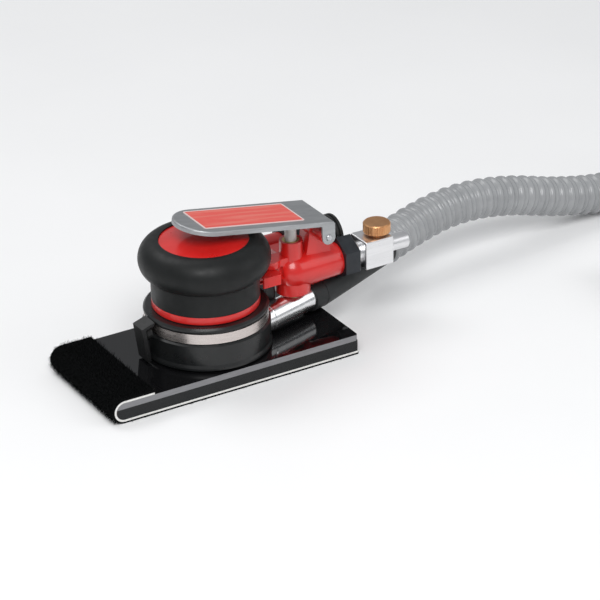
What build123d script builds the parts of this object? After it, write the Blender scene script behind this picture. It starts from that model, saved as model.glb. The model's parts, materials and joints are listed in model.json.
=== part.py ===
from build123d import *

import math
import os

# Air-powered orbital sander with dust extraction and a rectangular hook-faced pad.
# Millimetres, +Z up. The origin is on the motor axis, at the underside of the pad.
# +X points from the nose of the pad to the air inlet, and +Y away from the speed tab.

# ---------------------------------------------------------------- driving dimensions
# pad
PAD_WIDTH = 75.0
PAD_FRONT = -77.0
PAD_REAR = 75.5
NAP = 1.0
BACKING = 1.2
FOAM = 6.5
PLATE = 3.5
STRIP_REAR = -53.5
FOAM_Z = NAP + BACKING
PLATE_Z = FOAM_Z + FOAM
PAD_TOP = PLATE_Z + PLATE
NOSE_R = (PAD_TOP - FOAM_Z) / 2
NOSE_Z = FOAM_Z + NOSE_R
NOSE_X = PAD_FRONT + NOSE_R

# orbit drive and air motor
ORBIT = 2.0
BEARING_FIT = 0.03
ROTOR_R = 18.4
ROTOR_Z = (45.3, 61.7)
LINER_R = 21.0
LINER_Z = (45.0, 62.0)
LINER_OFFSET = 2.0
VANES = 5
SLOT_DEPTH = 9.0

# housing and grip
CAN_R = 28.0
CAN_BORE = 25.5
RING_R = 30.2
RING_Z = (38.1, 42.6)
SPIGOT_R = 29.5
SPIGOT_Z = 27.0
CAP_R = 24.9
CAP_RIM_Z = 75.8
CAP_TOP_Z = 78.0
ROOF_Z = 69.0
NECK_R = 30.2
BULGE_R = 11.0
BULGE_CENTRE = (25.8, 65.6)

# shroud
SHROUD_R = 35.8
SHROUD_BORE = 33.0
SHROUD_Z = 13.2
SADDLE_X = (30.0, 44.5)
SADDLE_Y = (-1.0, 13.0)
SADDLE_Z = (14.0, 39.8)
BAND_Z = (28.9, 34.7)
BAND_R = 34.7
FLANGE_TOP = 37.9

# inlet arm, throttle valve and lever
ARM_Z = 42.0
VALVE_X = 55.0
BODY_X = 55.8
BODY_R = 10.0
BODY_TOP = 46.0
VALVE_BOTTOM = 29.7
BOSS_R = 6.6
BOSS_TOP = 61.5
ARM_R = (11.2, 9.4)
WEB_HALF = 4.6
WEB_Z = (41.0, 53.0)
LUG_HALF = 5.0
ARM_END = 84.3
PIVOT = (69.7, 65.5)
LEVER_TILT = 9.9
LEVER_HALF = 17.3
LEVER_REAR = 73.4
LEVER_THICK = 1.5
LEVER_RIM = 2.8
LEVER_X0 = 0.3
LEVER_Z0 = 87.35
PIN_R = 3.35
PIN_TOP = 75.75

# speed regulator
SPEED_X = 41.0
SPEED_Z = (42.2, 48.4)
SPEED_BOSS_R = 6.3
SPOOL_R = 4.5
SPOOL_Z = (40.2, 51.2)
PASSAGE_Z = 47.6

# inlet fittings
NUT_FLATS = 22.0
NUT_X = (84.5, 94.5)
BLOCK_X = (99.2, 117.8)
BLOCK_SIDE = 17.0
PLUG_END = 131.0
KNOB_X = 111.6
KNOB_R = 7.9
KNOB_Z = (51.6, 57.8)

# muffler
MUFFLER_Y = 24.0
MUFFLER_Z = 45.0
MUFFLER_R = 11.5
MUFFLER_X = (62.3, 98.0)

# dust tube and its collar, along a slanted axis
DUST_START = Vector(38.9, -6.4, 21.3)
DUST_DIR = Vector(1.0, 0.29, 0.01).normalized()
TUBE_R = 7.8
TUBE_BORE = 6.6
TUBE_STEP = 0.3
TUBE_LIP = -4.5
NECK = 18.0
COLLAR = (28.0, 37.0)
COLLAR_R = 8.6

# hose
HOSE_R = 12.15
FLOOR_Z = 12.3
COIL_R = 119.0
COIL_SWEEP = 265.0
HOSE_ROUTE = [
    (131.5, 26.5, 26.6),
    (165.0, 37.0, 31.0),
    (197.0, 38.8, 34.0),
    (230.0, 39.6, 29.4),
    (263.0, 40.0, 19.2),
    (298.0, 40.4, 12.6),
    (325.0, 40.7, FLOOR_Z),
    (352.0, 41.2, FLOOR_Z),
    (380.0, 41.2, FLOOR_Z),
]
ADAPTER_R = (8.8, 9.6, 10.8)
COIL_CENTRE = Vector(HOSE_ROUTE[-1][0], HOSE_ROUTE[-1][1] - COIL_R, FLOOR_Z)
CUFF_LENGTH = 48.0

BOTTOM = (Align.CENTER, Align.CENTER, Align.MIN)


# ---------------------------------------------------------------- small helpers
def save(piece, name):
    """Label a finished piece and write it to its own STEP file."""
    piece.part.label = name
    export_step(piece.part, f"parts/{name}.step")


def disc(radius, low, high, x=0.0, y=0.0, mode=Mode.ADD):
    """Upright cylinder from height low to height high."""
    with Locations((x, y, low)):
        Cylinder(radius, high - low, align=BOTTOM, mode=mode)


def rod_x(radius, start, end, y, z, mode=Mode.ADD):
    """Cylinder along X."""
    with Locations(Location((start, y, z), (0, 90, 0))):
        Cylinder(radius, end - start, align=BOTTOM, mode=mode)


def rod_y(radius, start, end, x, z, mode=Mode.ADD):
    """Cylinder along Y."""
    with Locations(Location((x, start, z), (-90, 0, 0))):
        Cylinder(radius, end - start, align=BOTTOM, mode=mode)


def block(x, y, z, mode=Mode.ADD):
    """Box between two corners, given as three (low, high) pairs."""
    with Locations((x[0], y[0], z[0])):
        Box(x[1] - x[0], y[1] - y[0], z[1] - z[0], align=(Align.MIN,) * 3, mode=mode)


def ball_bearing(bore, outside, low, high, x=0.0):
    """Deep-groove bearing: outer ring, inner ring and its balls as separate solids."""
    middle = (low + high) / 2
    pitch = (bore + outside) / 2
    ball = (outside - bore) * 0.3
    wall = (outside - bore) * 0.28
    count = int(2 * math.pi * pitch / (ball * 2.6))
    with BuildPart() as bearing:
        disc(outside, low, high, x)
        disc(outside - wall, low, high, x, mode=Mode.SUBTRACT)
        disc(bore + wall, low, high, x)
        disc(bore, low, high, x, mode=Mode.SUBTRACT)
        with Locations((x, 0, middle)):
            Torus(pitch, ball + 0.03, mode=Mode.SUBTRACT)
            with PolarLocations(pitch, count):
                Sphere(ball)
    return bearing


def pad_side(offset, top_end, rear):
    """Side outline of the pad's core grown by offset, its top cut at top_end."""
    low = FOAM_Z - offset
    high = PAD_TOP + offset
    with Locations((NOSE_X, low)):
        Rectangle(rear - NOSE_X, NOSE_Z - low, align=(Align.MIN, Align.MIN))
    with Locations((NOSE_X, NOSE_Z)):
        Circle(NOSE_R + offset)
        Rectangle(top_end - NOSE_X, high - NOSE_Z, align=(Align.MIN, Align.MIN))


def wrapped_layer(inner, outer):
    """Sheet under the pad that turns round the nose and back over the top strip."""
    with BuildPart() as layer:
        with BuildSketch(Plane.XZ):
            pad_side(outer, STRIP_REAR, PAD_REAR)
            with BuildSketch(Plane.XZ, mode=Mode.SUBTRACT):
                pad_side(inner, STRIP_REAR + 5, PAD_REAR + 5)
        extrude(amount=PAD_WIDTH / 2, both=True)
    return layer


# ---------------------------------------------------------------- pad
def make_pad():
    """Aluminium plate, foam and the wrapped hook sheet."""
    with BuildPart() as pad_plate:
        with BuildSketch(Plane.XZ):
            pad_side(0, PAD_REAR, PAD_REAR)
            with Locations((0, PLATE_Z)):
                Rectangle(400, 50, align=(Align.CENTER, Align.MAX), mode=Mode.SUBTRACT)
        extrude(amount=PAD_WIDTH / 2, both=True)
        fillet(pad_plate.edges().filter_by(Axis.Z).group_by(Axis.X)[-1], 2.0)
        with Locations((-ORBIT, 0, PAD_TOP)):
            with PolarLocations(11.5, 4, start_angle=45):
                Hole(1.7, depth=3.0)
    save(pad_plate, "pad_plate")

    with BuildPart() as pad_foam:
        with BuildSketch(Plane.XZ):
            pad_side(0, PAD_REAR, PAD_REAR)
            with Locations((0, PLATE_Z)):
                Rectangle(400, 50, align=(Align.CENTER, Align.MIN), mode=Mode.SUBTRACT)
        extrude(amount=PAD_WIDTH / 2, both=True)
        fillet(pad_foam.edges().filter_by(Axis.Z).group_by(Axis.X)[-1], 1.0)
    save(pad_foam, "pad_foam")

    save(wrapped_layer(0, BACKING), "hook_backing")
    save(wrapped_layer(BACKING, BACKING + NAP), "hook_nap")


def make_spindle():
    """Flanged spindle that carries the pad, its four screws and its snap ring."""
    with BuildPart() as pad_spindle:
        disc(16.0, PAD_TOP, 15.6, -ORBIT)
        disc(8.0, 15.6, 20.6, -ORBIT)
        disc(6.0 - BEARING_FIT, 20.6, 30.0, -ORBIT)
        disc(7.0, 29.2, 29.2 + 0.8, -ORBIT, mode=Mode.SUBTRACT)
        disc(5.4, 29.2, 30.6, -ORBIT)
        with Locations((-ORBIT, 0, 15.6)):
            with PolarLocations(11.5, 4, start_angle=45):
                Hole(1.7, depth=4.0)
    save(pad_spindle, "pad_spindle")

    with BuildPart() as pad_screws:
        with Locations((-ORBIT, 0, 0)):
            with PolarLocations(11.5, 4, start_angle=45):
                with Locations((0, 0, PAD_TOP - 2.8)):
                    Cylinder(1.65, 6.2, align=BOTTOM)
                with Locations((0, 0, 15.6)):
                    Cylinder(2.8, 1.6, align=BOTTOM)
                with Locations((0, 0, 17.2)):
                    Hole(1.2, depth=1.0)
    save(pad_screws, "pad_screws")

    with BuildPart() as spindle_ring:
        disc(6.9, 29.25, 29.95, -ORBIT)
        disc(5.45, 29.25, 29.95, -ORBIT, mode=Mode.SUBTRACT)
        block((-ORBIT - 9, -ORBIT - 4), (-1.2, 1.2), (29, 31), mode=Mode.SUBTRACT)
    save(spindle_ring, "spindle_snap_ring")


# ---------------------------------------------------------------- air motor
def make_rotor():
    """Slotted rotor with its vanes, shaft with the eccentric hub, and the orbit bearing."""
    with BuildPart() as rotor:
        disc(ROTOR_R, *ROTOR_Z)
        disc(5.0, *ROTOR_Z, mode=Mode.SUBTRACT)
        block((3.5, 6.4), (-1.0, 1.0), ROTOR_Z, mode=Mode.SUBTRACT)
        with BuildSketch(Plane.XY.offset(ROTOR_Z[0])):
            with PolarLocations(ROTOR_R - SLOT_DEPTH / 2 + 0.5, VANES, start_angle=36):
                Rectangle(SLOT_DEPTH + 1, 1.7)
        extrude(amount=ROTOR_Z[1] - ROTOR_Z[0], mode=Mode.SUBTRACT)
    save(rotor, "rotor")

    with BuildPart() as vanes:
        with BuildSketch(Plane.XY.offset(ROTOR_Z[0] + 0.1)):
            with PolarLocations(ROTOR_R - SLOT_DEPTH / 2, VANES, start_angle=36):
                Rectangle(SLOT_DEPTH - 0.6, 1.5)
        extrude(amount=ROTOR_Z[1] - ROTOR_Z[0] - 0.2)
    save(vanes, "rotor_vanes")

    with BuildPart() as shaft:
        disc(3.0 - BEARING_FIT, 61.7, 68.2)
        disc(4.98, 45.2, 61.7)
        disc(4.0 - BEARING_FIT, 37.0, 45.2)
        disc(7.0, 34.0, 37.0)
        disc(17.0, 19.2, 34.0, -ORBIT)
        with BuildSketch(Plane.XY.offset(19.2)):
            Circle(27.0)
            with Locations((3.0, 0)):
                Rectangle(80, 80, align=(Align.MAX, Align.CENTER), mode=Mode.SUBTRACT)
        extrude(amount=9.0)
        disc(14.0, 19.2, 31.2, -ORBIT, mode=Mode.SUBTRACT)
        disc(14.5, 19.9, 20.8, -ORBIT, mode=Mode.SUBTRACT)
        block((3.4, 6.0), (-1.0, 1.0), (47.0, 60.0), mode=Mode.SUBTRACT)
    save(shaft, "eccentric_shaft")

    with BuildPart() as rotor_key:
        block((3.45, 6.3), (-0.95, 0.95), (47.2, 59.8))
    save(rotor_key, "rotor_key")

    with BuildPart() as hub_ring:
        disc(14.45, 20.0, 20.7, -ORBIT)
        disc(12.6, 20.0, 20.7, -ORBIT, mode=Mode.SUBTRACT)
        block((-ORBIT - 16, -ORBIT - 10), (-2.5, 2.5), (19, 22), mode=Mode.SUBTRACT)
    save(hub_ring, "hub_snap_ring")

    save(ball_bearing(6.0, 13.98, 20.9, 28.9, -ORBIT), "orbit_bearing")


def make_motor_case():
    """End plates, liner, bearings, dowel and the threaded ring that clamps them."""
    with BuildPart() as upper_plate:
        disc(CAN_BORE - 0.05, 62.0, 68.9)
        disc(9.52, 62.9, 68.9, mode=Mode.SUBTRACT)
        disc(5.6, 62.0, 63.0, mode=Mode.SUBTRACT)
        disc(1.05, 62.0, 64.0, 0, 23.3, mode=Mode.SUBTRACT)
        with BuildSketch(Plane.XY.offset(62.0)):
            with PolarLocations(15.0, 3, start_angle=-50, angular_range=60):
                Circle(1.8)
        extrude(amount=4.0, mode=Mode.SUBTRACT)
    save(upper_plate, "upper_end_plate")

    with BuildPart() as liner:
        disc(CAN_BORE - 0.05, *LINER_Z)
        disc(LINER_R, *LINER_Z, LINER_OFFSET, mode=Mode.SUBTRACT)
        disc(1.05, *LINER_Z, 0, 23.3, mode=Mode.SUBTRACT)
        for height in (49.5, 53.5, 57.5):
            rod_y(1.2, 12, 28, 12, height, mode=Mode.SUBTRACT)
    save(liner, "cylinder_liner")

    with BuildPart() as lower_plate:
        disc(CAN_BORE - 0.05, 39.0, 45.0)
        disc(13.0, 37.4, 39.0)
        disc(11.02, 37.4, 44.6, mode=Mode.SUBTRACT)
        disc(5.6, 44.0, 45.0, mode=Mode.SUBTRACT)
        disc(1.05, 43.0, 45.0, 0, 23.3, mode=Mode.SUBTRACT)
    save(lower_plate, "lower_end_plate")

    save(ball_bearing(3.0, 9.5, 63.0, 68.8), "upper_bearing")
    save(ball_bearing(4.0, 11.0, 37.6, 44.4), "lower_bearing")

    with BuildPart() as dowel:
        disc(1.0, 43.2, 63.8, 0, 23.3)
    save(dowel, "motor_dowel")

    with BuildPart() as lock_ring:
        disc(27.6, 31.0, 38.9)
        disc(22.5, 31.0, 38.9, mode=Mode.SUBTRACT)
        with PolarLocations(25.0, 4):
            with Locations((0, 0, 31.0)):
                Cylinder(1.6, 3.0, align=BOTTOM, mode=Mode.SUBTRACT)
    save(lock_ring, "lock_ring")


# ---------------------------------------------------------------- housing
def make_housing():
    """Red casting: can, domed cap, lower ring, valve body, inlet arm and muffler boss."""
    rise = CAP_TOP_Z - CAP_RIM_Z
    dome_r = (CAP_R**2 + rise**2) / (2 * rise)
    with BuildPart() as housing:
        with BuildSketch(Plane.XZ):
            with BuildLine():
                dome = RadiusArc((CAP_R, CAP_RIM_Z), (0, CAP_TOP_Z), -dome_r)
                Polyline(
                    dome @ 1,
                    (0, ROOF_Z),
                    (CAN_BORE, ROOF_Z),
                    (CAN_BORE, RING_Z[0] + 0.9),
                    (CAN_R - 0.35, RING_Z[0] + 0.9),
                    (CAN_R - 0.35, SPIGOT_Z),
                    (SPIGOT_R, SPIGOT_Z),
                    (SPIGOT_R, RING_Z[0]),
                    (RING_R, RING_Z[0]),
                    (RING_R, RING_Z[1]),
                    (CAN_R, RING_Z[1]),
                    (CAN_R, 71.0),
                    (CAP_R, 73.0),
                    dome @ 0,
                )
            make_face()
        revolve(axis=Axis.Z)
        ring_edges = housing.edges().filter_by(GeomType.CIRCLE)
        fillet(ring_edges.filter_by(lambda edge: abs(edge.radius - RING_R) < 0.01), 0.5)

        # web between the can and the valve body, then the valve body with its boss
        block((26.5, VALVE_X), (-WEB_HALF, WEB_HALF), WEB_Z)
        disc(SPEED_BOSS_R, *WEB_Z, SPEED_X)
        disc(BODY_R, VALVE_BOTTOM, BODY_TOP, BODY_X)
        body_edges = housing.edges().filter_by(GeomType.CIRCLE)
        body_edges = body_edges.filter_by(lambda edge: abs(edge.radius - BODY_R) < 0.01)
        fillet(body_edges.group_by(Axis.Z)[0], 0.6)
        disc(BOSS_R, BODY_TOP, BOSS_TOP, VALVE_X)

        # tapered inlet arm, lug under the lever and the lug's cross boss
        with Locations((BODY_X, 0, ARM_Z)):
            Sphere(ARM_R[0])
        with Locations(Location((BODY_X, 0, ARM_Z), (0, 90, 0))):
            Cone(*ARM_R, ARM_END - BODY_X, align=BOTTOM)
        with BuildSketch(Plane.XZ.offset(-LUG_HALF)):
            with BuildLine():
                Polyline((61.0, 44.0), (79.0, 44.0), (75.5, PIVOT[1]), (64.5, PIVOT[1]), close=True)
            make_face()
            with Locations(PIVOT):
                Circle(5.6)
        extrude(amount=2 * LUG_HALF)
        rod_y(4.4, -15.7, 15.7, *PIVOT)

        # boss for the muffler on the far side
        rod_x(9.0, 50.0, MUFFLER_X[0] - 0.3, MUFFLER_Y, MUFFLER_Z)
        block((50.0, 61.0), (0.0, MUFFLER_Y), (38.5, 51.5))

        # bores: valve, pin bushing, arm, pivot, speed spool, exhaust, threaded spigot
        disc(6.5, VALVE_BOTTOM - 1, 45.2, VALVE_X, mode=Mode.SUBTRACT)
        disc(4.3, 45.0, 50.2, VALVE_X, mode=Mode.SUBTRACT)
        disc(5.0, 50.0, BOSS_TOP + 1, VALVE_X, mode=Mode.SUBTRACT)
        rod_x(4.0, VALVE_X + 3, ARM_END + 1, 0, ARM_Z - 3, mode=Mode.SUBTRACT)
        rod_x(6.6, 70.0, ARM_END + 1, 0, ARM_Z, mode=Mode.SUBTRACT)
        rod_y(1.8, -16.5, 16.5, *PIVOT, mode=Mode.SUBTRACT)
        disc(SPOOL_R + 0.1, 40.0, SPOOL_Z[1] + 0.3, SPEED_X, mode=Mode.SUBTRACT)
        rod_x(2.5, 22.0, VALVE_X - 2, 0, PASSAGE_Z, mode=Mode.SUBTRACT)
        block((28.3, 46.9), (-20.0, -3.25), (SPEED_Z[0] - 0.4, SPEED_Z[1] + 0.4), mode=Mode.SUBTRACT)
        rod_x(6.0, 52.0, MUFFLER_X[0] + 1, MUFFLER_Y, MUFFLER_Z, mode=Mode.SUBTRACT)
        rod_y(3.6, 10.0, MUFFLER_Y, VALVE_X + 2.5, MUFFLER_Z, mode=Mode.SUBTRACT)
    save(housing, "housing")


def make_grip_cover():
    """Rubber grip: a straight neck with a mushroom rim, slotted for the arm's web."""
    centre_r, centre_z = BULGE_CENTRE
    drop = math.sqrt(BULGE_R**2 - (NECK_R - centre_r) ** 2)
    lip = math.sqrt(BULGE_R**2 - (CAP_R + 0.15 - centre_r) ** 2)
    with BuildPart() as grip_cover:
        with BuildSketch(Plane.XZ):
            with BuildLine():
                bulge = ThreePointArc(
                    (NECK_R, centre_z - drop),
                    (centre_r + BULGE_R, centre_z),
                    (CAP_R + 0.15, centre_z + lip),
                )
                Polyline(
                    bulge @ 1,
                    (CAP_R + 0.15, 73.2),
                    (CAN_R + 0.1, 71.1),
                    (CAN_R + 0.1, RING_Z[1] + 0.1),
                    (NECK_R, RING_Z[1] + 0.1),
                    bulge @ 0,
                )
            make_face()
        revolve(axis=Axis.Z)
        web_gap = WEB_HALF + 0.4
        block((20.0, 60.0), (-web_gap, web_gap), (WEB_Z[0] - 1, WEB_Z[1] + 0.4), mode=Mode.SUBTRACT)
    save(grip_cover, "grip_cover")


# ---------------------------------------------------------------- dust shroud
def dust_plane(distance):
    """Plane across the dust tube, its own Y up, at a distance along the tube."""
    side = Vector(-DUST_DIR.Y, DUST_DIR.X, 0)
    return Plane(origin=DUST_START + DUST_DIR * distance, x_dir=side, z_dir=DUST_DIR)


def make_shroud():
    """Rubber skirt with a flange, a groove for the band, an arched outlet and its clamp."""
    with BuildPart() as saddle:
        block(SADDLE_X, SADDLE_Y, SADDLE_Z)
        fillet(saddle.edges().filter_by(Axis.Z).group_by(Axis.X)[-1], 2.0)
        disc(BAND_R + 0.15, SADDLE_Z[0] - 1, BAND_Z[1] + 0.4, mode=Mode.SUBTRACT)
        disc(RING_R + 0.8, FLANGE_TOP, SADDLE_Z[1] + 1, mode=Mode.SUBTRACT)
    with BuildPart() as shroud:
        with BuildSketch(Plane.XZ):
            with BuildLine():
                Polyline(
                    (SHROUD_BORE, SHROUD_Z),
                    (SHROUD_R + 0.5, SHROUD_Z),
                    (SHROUD_R + 0.5, SHROUD_Z + 1.2),
                    (SHROUD_R, SHROUD_Z + 3.0),
                    (SHROUD_R, BAND_Z[0] - 1.4),
                    (BAND_R - 0.7, BAND_Z[0] - 0.2),
                    (BAND_R - 0.7, BAND_Z[1] + 0.2),
                    (BAND_R - 0.2, BAND_Z[1] + 0.2),
                    (BAND_R + 0.3, BAND_Z[1] + 1.2),
                    (BAND_R + 0.1, FLANGE_TOP - 1.0),
                    (BAND_R - 1.0, FLANGE_TOP),
                    (SPIGOT_R + 0.05, FLANGE_TOP),
                    (SPIGOT_R + 0.05, SPIGOT_Z),
                    (SHROUD_BORE, SPIGOT_Z - 3.5),
                    close=True,
                )
            make_face()
        revolve(axis=Axis.Z)
        add(saddle)
        disc(SHROUD_BORE, SHROUD_Z - 1, SPIGOT_Z - 3.6, mode=Mode.SUBTRACT)
        disc(SPIGOT_R + 0.05, SPIGOT_Z - 4, FLANGE_TOP, mode=Mode.SUBTRACT)
        with BuildSketch(dust_plane(-20)):
            Circle(TUBE_R - TUBE_STEP + 0.05)
        extrude(amount=40, mode=Mode.SUBTRACT)
        with BuildSketch(dust_plane(TUBE_LIP - 0.05)):
            Circle(TUBE_R + 0.05)
        extrude(amount=20, mode=Mode.SUBTRACT)
    save(shroud, "shroud")

    with BuildPart() as clamp_band:
        disc(BAND_R, *BAND_Z)
        disc(BAND_R - 0.6, *BAND_Z, mode=Mode.SUBTRACT)
    save(clamp_band, "clamp_band")

    lug_y = BAND_R + 0.05
    middle = (BAND_Z[0] + BAND_Z[1]) / 2
    with BuildPart() as clamp_lugs:
        block((-5.5, -2.2), (lug_y - 0.6, lug_y + 6.0), BAND_Z)
        block((2.2, 5.5), (lug_y - 0.6, lug_y + 6.0), BAND_Z)
        disc(BAND_R + 0.02, BAND_Z[0] - 1, BAND_Z[1] + 1, mode=Mode.SUBTRACT)
        rod_x(1.3, -8.0, 8.0, lug_y + 3.6, middle, mode=Mode.SUBTRACT)
    save(clamp_lugs, "clamp_lugs")

    with BuildPart() as clamp_screw:
        rod_x(1.25, -8.5, 7.0, lug_y + 3.6, middle)
        rod_x(2.4, -8.6, -5.6, lug_y + 3.6, middle)
        with Locations((-8.6, lug_y + 3.6, middle)):
            Box(2.0, 0.8, 4.8, mode=Mode.SUBTRACT)
        with BuildSketch(Plane.YZ.offset(5.6)):
            with Locations((lug_y + 3.6, middle)):
                RegularPolygon(2.6, 6)
                Circle(1.25, mode=Mode.SUBTRACT)
        extrude(amount=2.0)
    save(clamp_screw, "clamp_screw")


def make_front_stop():
    """Hooded stop plate in front of the shroud, and the round boss behind it."""
    half = 5.3
    with BuildPart() as bracket:
        with BuildSketch(Plane.XZ.offset(-half)):
            with BuildLine():
                Polyline(
                    (-40.3, 13.5),
                    (-43.1, 34.0),
                    (-35.2, 36.6),
                    (-35.2, 34.9),
                    (-40.6, 33.0),
                    (-37.9, 13.5),
                    close=True,
                )
            make_face()
        extrude(amount=2 * half)
    save(bracket, "front_stop_bracket")

    with BuildPart() as boss:
        rod_x(3.9, -39.0, -35.0, 0, 28.6)
        disc(SHROUD_R + 0.05, 20, 40, mode=Mode.SUBTRACT)
        with BuildSketch(Plane.XZ.offset(-10)):
            with BuildLine():
                Polyline((-60, 13.5), (-37.9, 13.5), (-40.6, 33.0), (-60, 33.0), close=True)
            make_face()
        extrude(amount=20, mode=Mode.SUBTRACT)
    save(boss, "front_stop_boss")


# ---------------------------------------------------------------- throttle valve and lever
def make_valve():
    """Pin, bushing, seat, poppet, spring, plug and seals of the throttle valve."""
    with BuildPart() as valve_pin:
        disc(PIN_R, 47.0, PIN_TOP, VALVE_X)
        fillet(valve_pin.edges().group_by(Axis.Z)[-1], 1.6)
    save(valve_pin, "valve_pin")

    with BuildPart() as bushing:
        disc(4.98, 50.25, BOSS_TOP - 0.1, VALVE_X)
        disc(PIN_R + 0.08, 50.2, BOSS_TOP + 1, VALVE_X, mode=Mode.SUBTRACT)
    save(bushing, "valve_bushing")

    with BuildPart() as seat:
        disc(6.45, 43.2, 45.15, VALVE_X)
        disc(3.6, 43.0, 46.0, VALVE_X, mode=Mode.SUBTRACT)
    save(seat, "valve_seat")

    with BuildPart() as poppet:
        disc(5.2, 40.6, 42.9, VALVE_X)
        disc(2.0, 42.9, 46.95, VALVE_X)
        fillet(poppet.edges().group_by(Axis.Z)[0], 0.5)
    save(poppet, "valve_poppet")

    coils = 4.0
    spring_low = 34.6
    spring_high = 40.1
    spring_r = 4.0
    with BuildPart() as spring:
        with BuildLine(Plane.XY.offset(spring_low)):
            wire = Helix((spring_high - spring_low) / coils, spring_high - spring_low, spring_r,
                         center=(VALVE_X, 0, 0))
        with BuildSketch(Plane(origin=wire @ 0, z_dir=wire % 0)):
            Circle(0.4)
        sweep()
    save(spring, "valve_spring")

    with BuildPart() as valve_plug:
        disc(6.45, VALVE_BOTTOM + 0.1, 34.0, VALVE_X)
        with BuildSketch(Plane.XY.offset(VALVE_BOTTOM)):
            with Locations((VALVE_X, 0)):
                RegularPolygon(2.9, 6)
        extrude(amount=2.2, mode=Mode.SUBTRACT)
    save(valve_plug, "valve_plug")


def lever_plane():
    """Plane of the lever's top face: its own X runs back and down along the lever."""
    tilt = math.radians(LEVER_TILT)
    return Plane(
        origin=(LEVER_X0, 0, LEVER_Z0),
        x_dir=(math.cos(tilt), 0, -math.sin(tilt)),
        z_dir=(math.sin(tilt), 0, math.cos(tilt)),
    )


def lever_outline(inset):
    """Lever seen from above: half-round nose, straight sides and a square rear."""
    half = LEVER_HALF - inset
    length = (LEVER_REAR - LEVER_X0) / math.cos(math.radians(LEVER_TILT))
    Circle(half)
    Rectangle(length, 2 * half, align=(Align.MIN, Align.CENTER))


def make_lever():
    """Pressed lever with a turned-down rim and two ears, its label and its pivot pin."""
    top = lever_plane()
    below = Plane(origin=top.origin, x_dir=top.x_dir, z_dir=-top.z_dir)
    ear_x = (PIVOT[0] - 4.2, PIVOT[0] + 4.0)
    with BuildPart() as lever:
        with BuildSketch(below):
            lever_outline(0)
        extrude(amount=LEVER_RIM)
        fillet(lever.faces().sort_by(Axis((0, 0, 0), top.z_dir))[-1].edges(), 1.1)
        with BuildSketch(below.offset(LEVER_THICK)):
            lever_outline(1.2)
            Rectangle(120, 2 * (LEVER_HALF - 1.2), align=(Align.MIN, Align.CENTER))
        extrude(amount=LEVER_RIM, mode=Mode.SUBTRACT)
        for side in (-1, 1):
            with BuildSketch(Plane.XZ.offset(-side * (LEVER_HALF - 0.6)).offset(-0.6)):
                with Locations(PIVOT):
                    Circle(4.1)
                with Locations((ear_x[0], PIVOT[1])):
                    Rectangle(ear_x[1] - ear_x[0], 8.0, align=(Align.MIN, Align.MIN))
            extrude(amount=1.2)
        rod_y(1.82, -20, 20, *PIVOT, mode=Mode.SUBTRACT)
    save(lever, "throttle_lever")

    with BuildPart() as label:
        with BuildSketch(top):
            with Locations((26.0, 0.6)):
                RectangleRounded(64.0, 26.0, 1.5)
        extrude(amount=0.25)
    save(label, "lever_label")

    with BuildPart() as lever_pin:
        rod_y(1.75, -17.9, 17.9, *PIVOT)
        chamfer(lever_pin.edges().filter_by(GeomType.CIRCLE), 0.3)
    save(lever_pin, "lever_pin")


# ---------------------------------------------------------------- speed regulator
def make_speed_regulator():
    """Upright spool in the web, turned by a wedge-shaped thumb tab."""
    with BuildPart() as spool:
        disc(SPOOL_R, *SPOOL_Z, SPEED_X)
        rod_x(2.2, SPEED_X - 6, SPEED_X + 6, 0, PASSAGE_Z, mode=Mode.SUBTRACT)
    save(spool, "speed_spool")

    with BuildPart() as tab:
        with BuildSketch(Plane.XY.offset(SPEED_Z[0])):
            with BuildLine():
                Polyline((28.9, -12.2), (41.6, -12.2), (41.9, -4.0), (38.4, -3.3), close=True)
            make_face()
        extrude(amount=SPEED_Z[1] - SPEED_Z[0])
        disc(SPOOL_R + 0.02, SPEED_Z[0], SPEED_Z[1], SPEED_X, mode=Mode.SUBTRACT)
        fillet(tab.edges().filter_by(Axis.Z).group_by(Axis.Y)[0], 0.8)
    save(tab, "speed_tab")


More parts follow.
